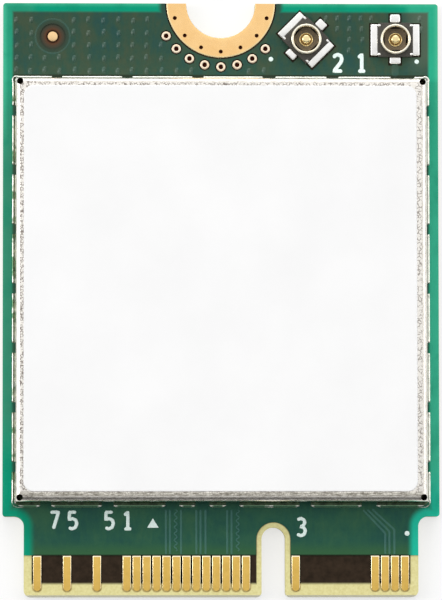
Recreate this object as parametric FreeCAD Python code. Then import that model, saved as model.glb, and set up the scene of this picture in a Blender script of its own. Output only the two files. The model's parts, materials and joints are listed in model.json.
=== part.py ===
import FreeCAD, Part
import math
import os

# Wireless card that plugs into an edge socket. It lies flat, component side up: X across the card,
# +Y towards the screw notch, -Y towards the edge contacts, Z up from the underside. Millimetres.

# Card outline
card_width = 22.0
card_length = 30.0
card_corner_radius = 0.15
tongue_width = 19.85
tongue_length = 4.05
tongue_corner_radius = 0.35
shoulder_radius = 0.5
lead_bevel = 0.1

# Layers of the board
laminate_thickness = 0.72
land_thickness = 0.04
mask_thickness = 0.05
mask_clearance = 0.07

# Key slot between the contacts
key_slot_width = 1.2
key_slot_depth = 3.5
key_mouth_radius = 0.25
key_bare_rim = 0.27

# Edge contacts, numbered from the +X side, odd ones on top
contact_pitch = 0.5
contact_width = 0.4
contact_end_gap = 0.3
contact_tip_cut = 0.13
contact_zone = 2.1
contact_mask_gap = 0.02
contact_place_count = 75
key_slot_contacts = (24, 31)
top_contacts = [1, 3, 5, 7, 23] + list(range(33, 58, 2)) + [63, 69, 75]
bottom_contacts = list(range(2, 23, 2)) + list(range(32, 75, 2))

# Screw notch, its land and the via holes in the land
screw_notch_radius = 1.75
screw_land_width = 1.0
via_plating = 0.03
screw_via_radius = 0.1
screw_via_inset = 0.31
screw_via_count = 7
screw_via_edge_angle = 17.6

# Plated stitching holes on an arc round the screw land
stitch_hole_radius = 0.105
stitch_ring_width = 0.13
stitch_land_gap = 0.235
stitch_count = 8
stitch_first_angle = 30.9
stitch_last_angle = 134.5
via_side_count = 8

# Alignment dot
fiducial_radius = 0.265
fiducial_bare_ring = 0.385
fiducial_from_side = 2.5
fiducial_from_end = 1.69

# Shield can of folded sheet
shield_side_margin = 0.67
shield_shoulder_margin = 0.73
shield_end_strip = 3.9
shield_height = 1.42
shield_sheet = 0.15
shield_bend_radius = 0.25
relief_hole_radius = 0.15
relief_hole_inset = 0.2
corner_slit_width = 0.06
corner_slit_length = 0.5
foot_window_height = 0.3
side_window_width = 0.5
side_window_pitch = 3.0
side_window_count = 7
side_window_shift = 0.105
screw_end_windows = [(-8.27, 0.52), (-4.72, 0.52), (-1.15, 0.56), (2.44, 0.64), (5.65, 0.6), (9.2, 1.2)]
contact_end_windows = [(-8.83, 0.56), (-5.71, 0.6), (-2.45, 0.7), (-0.95, 0.7), (0.58, 0.68),
                       (4.22, 0.56), (7.46, 0.76)]

# Solder that holds the feet
solder_fillet_width = 0.2
solder_fillet_height = 0.18
solder_corner_radius = 0.5
solder_inner_width = 0.08
solder_mask_gap = 0.01

# Label on the shield
label_margin = 0.45
label_shift_x = -0.06
label_shift_y = 0.04
label_corner_radius = 0.5
label_thickness = 0.06

# Antenna jacks
jack_1_from_side = 2.17
jack_2_from_land = 1.56
jack_from_end = 1.84
jack_2_turn = -45.0
jack_height = 0.6
jack_body_width = 1.74
jack_body_length = 1.74
jack_body_height = 0.22
jack_body_corner = 0.16
jack_plug_gap = 0.04
jack_ring_radius = 0.76
jack_ring_wall = 0.125
jack_ring_bevel = 0.03
jack_neck_depth = 0.05
jack_neck_height = 0.08
jack_plate = 0.1
jack_wing_length = 1.5
jack_wing_reach = 0.32
jack_tab_width = 0.42
jack_tab_reach = 0.38
jack_pin_radius = 0.22
jack_pin_height = 0.5
jack_pin_taper = 0.08
jack_flange_radius = 0.34
jack_flange_height = 0.05
jack_tail_width = 0.46
jack_tail_reach = 0.3
jack_tail_gap = 0.08
jack_solder_edge = 0.05
jack_solder_cover = 0.05
jack_solder_bevel = 0.04

# Components under the shield
component_standoff = 0.04
row_gap = 1.0
part_gap = 0.7
chip_land_length = 0.4
chip_land_width = 0.3
thermal_land_margin = 1.0
radio_chip_size = 7.0
radio_chip_height = 0.8
radio_chip_land_count = 3
pin_mark_radius = 0.35
pin_mark_depth = 0.05
pin_mark_inset = 1.0
power_chip_size = 3.0
power_chip_height = 0.6
power_chip_land_count = 1
front_end_width = 3.0
front_end_length = 2.5
front_end_height = 0.6
front_end_land_count = 1
front_end_spread = 6.0
filter_length = 1.6
filter_width = 0.8
filter_height = 0.6
crystal_width = 2.5
crystal_length = 2.0
crystal_height = 0.45
crystal_lid_margin = 0.12
crystal_lid_thickness = 0.08
inductor_width = 1.6
inductor_length = 2.0
inductor_height = 0.9
inductor_count = 2
capacitor_length = 1.0
capacitor_width = 0.5
capacitor_height = 0.5
capacitor_pitch = 1.3
capacitor_column_count = 4
resistor_length = 0.6
resistor_width = 0.3
resistor_height = 0.23
resistor_pitch = 1.3
resistor_column_count = 3
terminal_share = 0.22

same_point = 1e-6

# Levels and places that follow from the sizes above
laminate_bottom = mask_thickness
laminate_top = laminate_bottom + laminate_thickness
land_top = laminate_top + land_thickness
mask_top = laminate_top + mask_thickness
contact_end = -card_length / 2
screw_end = card_length / 2
shoulder = contact_end + tongue_length
mask_end = contact_end + contact_zone
middle_contact = (1 + contact_place_count) / 2
key_slot_x = (middle_contact - sum(key_slot_contacts) / 2) * contact_pitch / 2
screw_land_radius = screw_notch_radius + screw_land_width
screw_via_circle = screw_land_radius - screw_via_inset
stitch_ring_radius = stitch_hole_radius + stitch_ring_width
stitch_circle = screw_land_radius + stitch_land_gap + stitch_ring_radius
fiducial_place = (fiducial_from_side - card_width / 2, screw_end - fiducial_from_end)
shield_width = card_width - 2 * shield_side_margin
shield_low = shoulder + shield_shoulder_margin
shield_high = screw_end - shield_end_strip
shield_length = shield_high - shield_low
shield_y = (shield_low + shield_high) / 2
shield_top = land_top + shield_height
component_seat = mask_top + component_standoff
through = 2 * (mask_top + shield_height)


def vector(x, y, z=0.0):
    return FreeCAD.Vector(x, y, z)


def rounded_face(corners):
    """Flat face of a polygon whose corners, each (x, y, radius), are rounded by tangent arcs."""
    starts, middles, ends = [], [], []
    for index, (x, y, radius) in enumerate(corners):
        corner = vector(x, y)
        before = corners[index - 1]
        after = corners[(index + 1) % len(corners)]
        to_before = (vector(before[0], before[1]) - corner).normalize()
        to_after = (vector(after[0], after[1]) - corner).normalize()
        half_angle = to_before.getAngle(to_after) / 2
        bisector = (to_before + to_after).normalize()
        reach = radius / math.tan(half_angle)
        starts.append(corner + to_before * reach)
        ends.append(corner + to_after * reach)
        middles.append(corner + bisector * (radius / math.sin(half_angle) - radius))
    edges = []
    for index, (x, y, radius) in enumerate(corners):
        if radius > 0:
            edges.append(Part.Arc(starts[index], middles[index], ends[index]).toShape())
        following = starts[(index + 1) % len(corners)]
        if (following - ends[index]).Length > same_point:
            edges.append(Part.LineSegment(ends[index], following).toShape())
    return Part.Face(Part.Wire(edges))


def raised(face, low, high):
    """Solid between two levels above a flat face."""
    return face.translated(vector(0, 0, low)).extrude(vector(0, 0, high - low))


def rectangle(x, y, width, length, radius=0.0):
    """Face of a rectangle centred on (x, y), with rounded corners."""
    half_width, half_length = width / 2, length / 2
    left, right, near, far = x - half_width, x + half_width, y - half_length, y + half_length
    return rounded_face([(left, near, radius), (right, near, radius),
                         (right, far, radius), (left, far, radius)])


def block(x, y, width, length, low, high):
    """Box centred on (x, y) between two levels."""
    return Part.makeBox(width, length, high - low, vector(x - width / 2, y - length / 2, low))


def rod(place, radius, low, high):
    """Upright cylinder at a place (x, y) between two levels."""
    return Part.makeCylinder(radius, high - low, vector(place[0], place[1], low))


def drill(place, radius, low, high):
    """Upright prism of a small round hole or ring at a place (x, y) between two levels."""
    turns = [2 * math.pi * index / via_side_count for index in range(via_side_count)]
    corners = [(place[0] + radius * math.cos(turn), place[1] + radius * math.sin(turn), 0) for turn in turns]
    return raised(rounded_face(corners), low, high)


def level_edges(solid, level):
    """The edges of a solid that lie wholly at one level."""
    return [edge for edge in solid.Edges
            if abs(edge.BoundBox.ZMin - level) < same_point and abs(edge.BoundBox.ZMax - level) < same_point]


def on_arc(centre, radius, first, last, count):
    """Places spread evenly over an arc below its centre, with angles from the -X side, in degrees."""
    step = (last - first) / (count - 1)
    angles = [math.radians(first + index * step) for index in range(count)]
    return [(centre[0] - radius * math.cos(a), centre[1] - radius * math.sin(a)) for a in angles]


def evenly(pitch, count):
    """Positions at one pitch, centred on zero."""
    return [(index - (count - 1) / 2) * pitch for index in range(count)]


screw_centre = (0.0, screw_end)
screw_vias = on_arc(screw_centre, screw_via_circle, screw_via_edge_angle, 180 - screw_via_edge_angle,
                    screw_via_count)
stitch_places = on_arc(screw_centre, stitch_circle, stitch_first_angle, stitch_last_angle, stitch_count)


def card_face(end, end_corner, slot_width, slot_top, slot_mouth):
    """Outline of the card from its contact end to its screw end, with the key slot."""
    half_tongue, half_card, half_slot = tongue_width / 2, card_width / 2, slot_width / 2
    return rounded_face([
        (-half_tongue, end, end_corner),
        (key_slot_x - half_slot, end, slot_mouth),
        (key_slot_x - half_slot, slot_top, half_slot),
        (key_slot_x + half_slot, slot_top, half_slot),
        (key_slot_x + half_slot, end, slot_mouth),
        (half_tongue, end, end_corner),
        (half_tongue, shoulder, shoulder_radius),
        (half_card, shoulder, card_corner_radius),
        (half_card, screw_end, card_corner_radius),
        (-half_card, screw_end, card_corner_radius),
        (-half_card, shoulder, card_corner_radius),
        (-half_tongue, shoulder, shoulder_radius)])


def circuit_board():
    """Laminate with the key slot, the screw notch, the via holes and the bevelled contact edge."""
    face = card_face(contact_end, tongue_corner_radius, key_slot_width, contact_end + key_slot_depth,
                     key_mouth_radius)
    board = raised(face, laminate_bottom, laminate_top)
    holes = [rod(screw_centre, screw_notch_radius, 0, through)]
    holes += [drill(place, screw_via_radius + via_plating, 0, through) for place in screw_vias]
    holes += [drill(place, stitch_hole_radius + via_plating, 0, through) for place in stitch_places]
    board = board.cut(holes)
    bevels = []
    for level, inward in ((laminate_top, -1), (laminate_bottom, 1)):
        wedge = Part.makePolygon([vector(-card_width, contact_end, level),
                                  vector(-card_width, contact_end + lead_bevel, level),
                                  vector(-card_width, contact_end, level + inward * lead_bevel),
                                  vector(-card_width, contact_end, level)])
        bevels.append(Part.Face(wedge).extrude(vector(2 * card_width, 0, 0)))
    return board.cut(bevels)


def mask_film(low, high, openings):
    """Lacquer film that stops short of the contacts and the key slot, open where given."""
    slot_width = key_slot_width + 2 * key_bare_rim
    slot_top = contact_end + key_slot_depth + key_bare_rim
    film = raised(card_face(mask_end, 0, slot_width, slot_top, 0), low, high)
    return film.cut(openings + [rod(screw_centre, screw_land_radius + mask_clearance, 0, through)])


def contact_row(numbers, low):
    """Gold fingers with tapered tips, from a level up."""
    tip = contact_end + contact_end_gap
    root = mask_end - contact_mask_gap
    half = contact_width / 2
    tip_half, tip_side = half - contact_tip_cut, tip + contact_tip_cut
    face = rounded_face([(-tip_half, tip, 0), (tip_half, tip, 0), (half, tip_side, 0),
                         (half, root, 0), (-half, root, 0), (-half, tip_side, 0)])
    finger = raised(face, low, low + land_thickness)
    places = [(middle_contact - number) * contact_pitch / 2 for number in numbers]
    return [finger.translated(vector(x, 0, 0)) for x in places]


def screw_pad():
    """Half-ring lands on both faces round the notch, joined through the board by plated vias."""
    bottom = laminate_bottom - land_thickness
    lands = [rod(screw_centre, screw_land_radius, low, low + land_thickness)
             for low in (bottom, laminate_top)]
    beyond = block(0, screw_end + card_width / 2, card_width, card_width, 0, through)
    lands = [land.cut([beyond, rod(screw_centre, screw_notch_radius, 0, through)]) for land in lands]
    linings = [drill(place, screw_via_radius + via_plating, bottom, land_top) for place in screw_vias]
    holes = [drill(place, screw_via_radius, 0, through) for place in screw_vias]
    return lands[0].fuse(lands[1:] + linings).cut(holes)


def ground_via_rings():
    """Rings round the stitching holes, each with the lining of its hole; lacquer covers the lower ends."""
    rings = []
    for place in stitch_places:
        ring = drill(place, stitch_ring_radius, laminate_top, land_top)
        lining = drill(place, stitch_hole_radius + via_plating, laminate_bottom, land_top)
        rings.append(ring.fuse(lining).cut(drill(place, stitch_hole_radius, 0, through)))
    return rings


def shield_face(inset, radius=0.0):
    """Outline of the shield, moved in by an inset, with rounded corners."""
    width, length = shield_width - 2 * inset, shield_length - 2 * inset
    return rectangle(0, shield_y, width, length, radius)


def shield_block(inset, low, high, radius=0.0):
    """Upright block of the shield's outline, moved in by an inset."""
    return raised(shield_face(inset, radius), low, high)


def foot_windows(high):
    """Boxes that part the feet, from the laminate up to a level."""
    low = laminate_bottom
    band = 2 * (shield_sheet + solder_fillet_width + solder_inner_width)
    windows = []
    for step in evenly(side_window_pitch, side_window_count):
        y = shield_y + side_window_shift + step
        for x in (-shield_width / 2, shield_width / 2):
            windows.append(block(x, y, band, side_window_width, low, high))
    for y, row in ((shield_high, screw_end_windows), (shield_low, contact_end_windows)):
        windows += [block(x, y, width, band, low, high) for x, width in row]
    return windows


def shield_can():
    """Folded sheet: a plate with bent edges and walls, relieved and slit at the corners, on feet."""
    outer = shield_block(0, land_top, shield_top)
    outer = outer.makeFillet(shield_bend_radius, level_edges(outer, shield_top))
    ceiling = shield_top - shield_sheet
    cuts = [shield_block(shield_sheet, land_top, ceiling)] + foot_windows(land_top + foot_window_height)
    for side in (-1, 1):
        for end in (-1, 1):
            x = side * (shield_width / 2 - relief_hole_inset)
            y = shield_y + end * (shield_length / 2 - relief_hole_inset)
            cuts.append(drill((x, y), relief_hole_radius, ceiling - shield_bend_radius, through))
            slit = Part.makeBox(corner_slit_length, corner_slit_width, shield_height,
                                vector(0, -corner_slit_width / 2, land_top - shield_bend_radius))
            slit.rotate(vector(0, 0), vector(0, 0, 1), math.degrees(math.atan2(end, side)))
            cuts.append(slit.translated(vector(x, y)))
    return outer.cut(cuts)


def shield_solder():
    """Dashes of solder under the feet, with a sloping fillet up the outside of the wall."""
    base = shield_block(-solder_fillet_width, laminate_top, land_top)
    toe = shield_face(-solder_fillet_width).OuterWire.translated(vector(0, 0, land_top))
    crest = shield_face(0).OuterWire.translated(vector(0, 0, land_top + solder_fillet_height))
    slope = Part.makeLoft([toe, crest], True, True)
    ring = base.fuse(slope).common(shield_block(-solder_fillet_width, 0, through, solder_corner_radius))
    hollow = shield_block(shield_sheet + solder_inner_width, 0, through)
    ring = ring.cut([shield_block(0, land_top, shield_top), hollow])
    return ring.cut(foot_windows(shield_top)).Solids


def shield_label():
    """Thin label with rounded corners on top of the shield."""
    face = rectangle(label_shift_x, shield_y + label_shift_y, shield_width - 2 * label_margin,
                     shield_length - 2 * label_margin, label_corner_radius)
    return raised(face, shield_top, shield_top + label_thickness)


# Antenna jacks are modelled about their own axis, plain tab towards +Y, and then set on the board.

jack_gate_width = jack_tail_width + 2 * jack_tail_gap
jack_gate_top = mask_top + jack_plate + jack_tail_gap


def jack_outer_contact():
    """Turned snap ring, undercut by a tapered neck, on a plate with two wings and a plain tab."""
    low = mask_top
    outer, inner = jack_ring_radius, jack_ring_radius - jack_ring_wall
    neck = outer - jack_neck_depth
    shelf = low + jack_body_height + jack_neck_height
    top = low + jack_height
    rim = jack_ring_bevel
    outline = [(inner, low), (neck, low), (outer, shelf), (outer, top - rim), (outer - rim, top),
               (inner, top), (inner, low)]
    section = Part.makePolygon([vector(r, 0, z) for r, z in outline])
    ring = Part.Face(section).revolve(vector(0, 0, 0), vector(0, 0, 1), 360)
    span = jack_body_width + 2 * jack_wing_reach
    plate = block(0, 0, span, jack_wing_length, low, low + jack_plate)
    tab_end = jack_body_length / 2 + jack_tab_reach
    plate = plate.fuse(block(0, tab_end / 2, jack_tab_width, tab_end, low, low + jack_plate))
    plate = plate.cut(rod((0, 0), inner, 0, through))
    tail_way = block(0, -jack_body_length / 2, jack_gate_width, jack_body_length, 0, jack_gate_top)
    return ring.fuse(plate).removeSplitter().cut(tail_way)


def jack_centre_contact():
    """Taper-tipped pin on a flange, with a flat tail that leaves under the ring."""
    low = mask_top
    top = low + jack_pin_height
    step = low + jack_body_height + jack_flange_height
    tip = jack_pin_radius - jack_pin_taper
    outline = [(0, low), (jack_flange_radius, low), (jack_flange_radius, step), (jack_pin_radius, step),
               (jack_pin_radius, top - jack_pin_taper), (tip, top), (0, top), (0, low)]
    section = Part.makePolygon([vector(r, 0, z) for r, z in outline])
    pin = Part.Face(section).revolve(vector(0, 0, 0), vector(0, 0, 1), 360)
    tail_end = jack_body_length / 2 + jack_tail_reach
    tail = block(0, -tail_end / 2, jack_tail_width, tail_end, low, low + jack_plate)
    return pin.fuse(tail).removeSplitter()


def jack_insulator(metal):
    """Moulded base: a frame round the ring and a plug inside it, joined under the ring beside the tail."""
    low, high = mask_top, mask_top + jack_body_height
    half_width, half_length = jack_body_width / 2, jack_body_length / 2
    inner = jack_ring_radius - jack_ring_wall
    face = rounded_face([
        (-half_width, -half_length, 0), (half_width, -half_length, 0),
        (half_width, half_length - jack_body_corner, 0), (half_width - jack_body_corner, half_length, 0),
        (jack_body_corner - half_width, half_length, 0), (-half_width, half_length - jack_body_corner, 0)])
    frame = raised(face, low, high).cut(rod((0, 0), inner, 0, through))
    plug = rod((0, 0), inner - jack_plug_gap, low, high)
    bridge = block(0, -half_length / 2, jack_gate_width, half_length, low, jack_gate_top)
    return frame.fuse([plug, bridge]).cut(metal)


def jack_joint_plan():
    """Places and sizes (x, y, width, length) of the four solder joints of a jack."""
    edge = jack_solder_edge
    wing_x = (jack_body_width + jack_wing_reach + edge) / 2
    tab_y = (jack_body_length + jack_tab_reach + edge) / 2
    tail_y = -(jack_body_length + jack_tail_reach + edge) / 2
    return [(-wing_x, 0, jack_wing_reach + edge, jack_wing_length + 2 * edge),
            (wing_x, 0, jack_wing_reach + edge, jack_wing_length + 2 * edge),
            (0, tab_y, jack_tab_width + 2 * edge, jack_tab_reach + edge),
            (0, tail_y, jack_tail_width + 2 * edge, jack_tail_reach + edge)]


def jack_solder(metal):
    """Solder joints over the wings, the tab and the tail, each down to its land."""
    high = mask_top + jack_plate + jack_solder_cover
    joints = []
    for place in jack_joint_plan():
        joint = block(*place, laminate_top, high)
        joint = joint.makeChamfer(jack_solder_bevel, level_edges(joint, high))
        joints.append(joint.cut(metal))
    return Part.Compound(joints)


def jack_openings():
    """Windows of the lacquer round the joints of a jack."""
    grow = 2 * mask_clearance
    return [block(x, y, width + grow, length + grow, 0, through) for x, y, width, length in jack_joint_plan()]


jack_settings = {"jack_1": (card_width / 2 - jack_1_from_side, 0.0),
                 "jack_2": (screw_land_radius + jack_2_from_land, jack_2_turn)}


def set_jack(shape, name):
    """Turn a jack's piece and move it to its place on the board."""
    x, turn = jack_settings[name]
    placed = shape.copy()
    placed.rotate(vector(0, 0), vector(0, 0, 1), turn)
    return placed.translated(vector(x, screw_end - jack_from_end))


# Components under the shield, placed from the radio chip outwards.

radio_place = (0.0, shield_y)
low_row_y = shield_y - radio_chip_size / 2 - row_gap - power_chip_size / 2
high_row_y = shield_y + radio_chip_size / 2 + row_gap + front_end_length / 2
filter_y = high_row_y + front_end_length / 2 + part_gap + filter_width / 2
power_place = (0.0, low_row_y)
crystal_place = (-(power_chip_size + crystal_width) / 2 - part_gap, low_row_y)
inductor_step = inductor_width + part_gap
inductor_places = [((power_chip_size + inductor_width) / 2 + part_gap + index * inductor_step, low_row_y)
                   for index in range(inductor_count)]
front_end_places = [(x, high_row_y) for x in evenly(front_end_spread, 2)]
filter_places = [(x, filter_y) for x in evenly(front_end_spread, 2)]
capacitor_x = (radio_chip_size + capacitor_length) / 2 + part_gap
resistor_x = capacitor_x + (capacitor_length + resistor_length) / 2 + part_gap
capacitor_places = [(side * capacitor_x, shield_y + y) for side in (-1, 1)
                    for y in evenly(capacitor_pitch, capacitor_column_count)]
resistor_places = [(side * resistor_x, shield_y + y) for side in (-1, 1)
                   for y in evenly(resistor_pitch, resistor_column_count)]


def package(place, width, length, height):
    """Sawn chip package on its solder joints."""
    return block(*place, width, length, component_seat, component_seat + height)


def radio_chip():
    """Largest chip, with a dimple at its first terminal."""
    chip = package(radio_place, radio_chip_size, radio_chip_size, radio_chip_height)
    corner = radio_chip_size / 2 - pin_mark_inset
    top = component_seat + radio_chip_height
    return chip.cut(drill((radio_place[0] - corner, radio_place[1] + corner), pin_mark_radius,
                          top - pin_mark_depth, top + pin_mark_depth))


def two_ended(places, length, width, height):
    """Bodies and end caps of small parts that lie along X."""
    cap = length * terminal_share
    bodies, caps = [], []
    high = component_seat + height
    for x, y in places:
        bodies.append(block(x, y, length - 2 * cap, width, component_seat, high))
        for side in (-1, 1):
            caps.append(block(x + side * (length - cap) / 2, y, cap, width, component_seat, high))
    return bodies, caps


def end_lands(places, length, width):
    """Land plans under the two ends of small parts that lie along X."""
    land = length * terminal_share
    return [(x + side * (length - land) / 2, y, land, width) for x, y in places for side in (-1, 1)]


def chip_lands(place, width, length, count):
    """Land plans of a chip: a row along each side and one large land in the middle."""
    x, y = place
    plans = [(x, y, width - 2 * thermal_land_margin, length - 2 * thermal_land_margin)]
    for side in (-1, 1):
        row_x = x + side * (width - chip_land_length) / 2
        row_y = y + side * (length - chip_land_length) / 2
        for share in evenly(1 / (count + 1), count):
            plans.append((row_x, y + share * length, chip_land_length, chip_land_width))
            plans.append((x + share * width, row_y, chip_land_width, chip_land_length))
    return plans


chip_plans = [(radio_place, radio_chip_size, radio_chip_size, radio_chip_land_count),
              (power_place, power_chip_size, power_chip_size, power_chip_land_count)]
chip_plans += [(place, front_end_width, front_end_length, front_end_land_count) for place in front_end_places]
small_plans = [(capacitor_places, capacitor_length, capacitor_width),
               (resistor_places, resistor_length, resistor_width),
               (filter_places, filter_length, filter_width),
               ([crystal_place], crystal_width, crystal_length),
               (inductor_places, inductor_width, inductor_length)]


def component_solder():
    """Solder joints between the laminate and the components."""
    plans = []
    for plan in small_plans:
        plans += end_lands(*plan)
    for plan in chip_plans:
        plans += chip_lands(*plan)
    return [block(*plan, laminate_top, component_seat) for plan in plans]


def component_openings():
    """Windows of the lacquer, one under each component."""
    grow = 2 * mask_clearance
    plans = [(place, length, width) for places, length, width in small_plans for place in places]
    plans += [(place, width, length) for place, width, length, count in chip_plans]
    return [block(*place, width + grow, length + grow, 0, through) for place, width, length in plans]


def shield_openings():
    """Windows of the lacquer along the dashes of solder under the shield's feet."""
    ring = shield_block(-solder_fillet_width - solder_mask_gap, laminate_top, mask_top,
                        solder_corner_radius + solder_mask_gap)
    ring = ring.cut(shield_block(shield_sheet + solder_inner_width + mask_clearance, 0, through))
    return ring.cut(foot_windows(through)).Solids


os.makedirs("parts", exist_ok=True)

jack_metal = {"outer_contact": jack_outer_contact(), "centre_contact": jack_centre_contact()}
jack_pieces = dict(jack_metal)
jack_pieces["insulator"] = jack_insulator(list(jack_metal.values()))
jack_pieces["solder"] = jack_solder(list(jack_metal.values()))

fiducial_clearing = rod(fiducial_place, fiducial_radius + fiducial_bare_ring, 0, through)
top_openings = component_openings() + shield_openings() + [fiducial_clearing]
top_openings += [drill(place, stitch_ring_radius + mask_clearance, 0, through) for place in stitch_places]
for jack in jack_settings:
    top_openings += [set_jack(opening, jack) for opening in jack_openings()]

capacitor_bodies, capacitor_terminals = two_ended(capacitor_places, capacitor_length, capacitor_width,
                                                  capacitor_height)
resistor_bodies, resistor_terminals = two_ended(resistor_places, resistor_length, resistor_width,
                                                resistor_height)
crystal_top = component_seat + crystal_height
front_ends = [package(place, front_end_width, front_end_length, front_end_height)
              for place in front_end_places]

nodes = {
    "circuit_board": circuit_board(),
    "solder_mask_top": mask_film(laminate_top, mask_top, top_openings),
    "solder_mask_bottom": mask_film(0, laminate_bottom, []),
    "contact_fingers_top": contact_row(top_contacts, laminate_top),
    "contact_fingers_bottom": contact_row(bottom_contacts, laminate_bottom - land_thickness),
    "screw_pad": screw_pad(),
    "ground_via_rings": ground_via_rings(),
    "fiducial_dot": rod(fiducial_place, fiducial_radius, laminate_top, land_top),
    "shield_can": shield_can(),
    "shield_solder": shield_solder(),
    "shield_label": shield_label(),
    "radio_chip": radio_chip(),
    "power_chip": package(power_place, power_chip_size, power_chip_size, power_chip_height),
    "front_end_module_1": front_ends[0],
    "front_end_module_2": front_ends[1],
    "antenna_filters": [package(place, filter_length, filter_width, filter_height)
                        for place in filter_places],
    "crystal_package": package(crystal_place, crystal_width, crystal_length, crystal_height),
    "crystal_lid": block(*crystal_place, crystal_width - 2 * crystal_lid_margin,
                         crystal_length - 2 * crystal_lid_margin, crystal_top,
                         crystal_top + crystal_lid_thickness),
    "power_inductors": [package(place, inductor_width, inductor_length, inductor_height)
                        for place in inductor_places],
    "capacitor_bodies": capacitor_bodies,
    "capacitor_terminals": capacitor_terminals,
    "resistor_bodies": resistor_bodies,
    "resistor_terminals": resistor_terminals,
    "component_solder": component_solder(),
}
for jack in jack_settings:
    for piece, shape in jack_pieces.items():
        nodes[jack + "_" + piece] = set_jack(shape, jack)

for name, shape in nodes.items():
    if isinstance(shape, list):
        shape = Part.Compound(shape)
    shape.exportStep("parts/" + name + ".step")
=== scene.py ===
import json
import math

import bmesh
import bpy
import numpy as np
from mathutils import Matrix, Vector


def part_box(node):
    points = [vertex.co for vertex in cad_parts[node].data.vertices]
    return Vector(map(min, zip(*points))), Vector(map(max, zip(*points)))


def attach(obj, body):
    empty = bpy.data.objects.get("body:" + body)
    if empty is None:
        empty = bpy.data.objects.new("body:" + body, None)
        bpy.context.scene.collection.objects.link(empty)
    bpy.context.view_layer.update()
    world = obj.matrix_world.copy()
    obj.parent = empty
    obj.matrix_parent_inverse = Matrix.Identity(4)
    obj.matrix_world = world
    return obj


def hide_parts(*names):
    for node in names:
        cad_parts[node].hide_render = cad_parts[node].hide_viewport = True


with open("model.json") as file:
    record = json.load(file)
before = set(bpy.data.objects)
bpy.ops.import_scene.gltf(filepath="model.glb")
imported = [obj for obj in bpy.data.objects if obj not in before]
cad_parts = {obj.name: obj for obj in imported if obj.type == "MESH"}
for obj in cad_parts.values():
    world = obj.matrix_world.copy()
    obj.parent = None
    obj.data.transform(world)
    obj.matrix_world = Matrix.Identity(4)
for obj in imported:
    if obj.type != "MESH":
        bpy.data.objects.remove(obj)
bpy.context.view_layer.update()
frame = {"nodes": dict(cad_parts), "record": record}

# Wireless card, component side up. Lengths below are millimetres in the frame of the solids:
# X across the card, +Y towards the screw notch, Z up from the underside.
# A hair is the overlap that keeps two faces out of one plane.
millimetre = 0.001
hair = 0.004
scene = bpy.context.scene


def node_box(node):
    """Lowest and highest corner of one of the solids, in millimetres."""
    low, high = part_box(node)
    return np.array(low) / millimetre, np.array(high) / millimetre


# Levels and places read from the solids
board_low, board_high = node_box("circuit_board")
can_low, can_high = node_box("shield_can")
bead_low, bead_high = node_box("shield_solder")
label_low, label_high = node_box("shield_label")
dot_low, dot_high = node_box("fiducial_dot")
half_card, contact_end, screw_end = board_high[0], board_low[1], board_high[1]
laminate_bottom, laminate_top = board_low[2], board_high[2]
laminate_middle = (laminate_bottom + laminate_top) / 2
laminate_half = (laminate_top - laminate_bottom) / 2
lacquer_top = node_box("solder_mask_top")[1][2]
land_top = dot_high[2]
land_bottom = laminate_bottom - (land_top - laminate_top)
can_size = (can_high - can_low)[:2]
can_middle = (can_high + can_low)[:2] / 2
can_foot, can_top = can_low[2], can_high[2]
fiducial = (dot_low + dot_high)[:2] / 2
fiducial_radius = (dot_high[0] - dot_low[0]) / 2
screw_centre = np.array([0.0, screw_end])
mounts = {mount["name"]: mount for mount in frame["record"]["mounts"]}
jack_turns = {"jack_1": 0.0, "jack_2": math.radians(-45.0)}
jack_axes = {jack: np.array(mounts["antenna_" + jack]["pos_m"][:2]) / millimetre for jack in jack_turns}

# Outline of the card
half_tongue = 9.925
shoulder_y = -10.95
shoulder_radius = 0.5
key_slot_x = 2.625
key_slot_half = 0.6
key_slot_round_y = contact_end + 2.9

# Edge contacts
contact_pitch = 0.5
middle_contact = 38
top_contacts = [1, 3, 5, 7, 23] + list(range(33, 58, 2)) + [63, 69, 75]
bottom_contacts = list(range(2, 23, 2)) + list(range(32, 75, 2))
finger_width = 0.4
finger_root = -12.92
finger_tip_gap = 0.3
finger_tip_radius = 0.17
finger_edge_drop = 0.015
finger_near_slope, finger_far_slope = 0.019, 0.027
finger_root_slope, finger_tip_slope = 0.07, 0.015
finger_shade_rim = 0.055
tip_corners = np.array([1, 1, 0, 0])

# Screw land, its vias and the stitching rings, at turns about the notch from its -X side, and the rim of the
# alignment dot as (way in, drop)
notch_radius, land_radius = 1.75, 2.75
land_rim = 0.02
screw_via_radius = 0.1
screw_via_circle = 2.44
screw_via_edge = math.radians(17.6)
screw_via_count = 7
via_plating = 0.03
via_turns = np.linspace(screw_via_edge, math.pi - screw_via_edge, screw_via_count)
via_walls = np.concatenate([[0.0], (via_turns[1:] + via_turns[:-1]) / 2, [math.pi]])
sector_side = np.linspace(0, 1, 12, endpoint=False)
sector_shares = np.array([0, 0.15, 0.4, 0.7, 1.0])
stitch_circle = 3.22
stitch_turns = np.linspace(math.radians(30.9), math.radians(134.5), 8)
stitch_hole_radius, stitch_ring_radius = 0.105, 0.235
stitch_soft = 0.02
fill_floor, fill_neck, fill_cup = 0.05, 0.03, 0.05
fill_lip, fill_lip_height = 0.014, 0.001
dot_rim = [(0.06, 0.0), (0.02, 0.008)]

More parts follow.
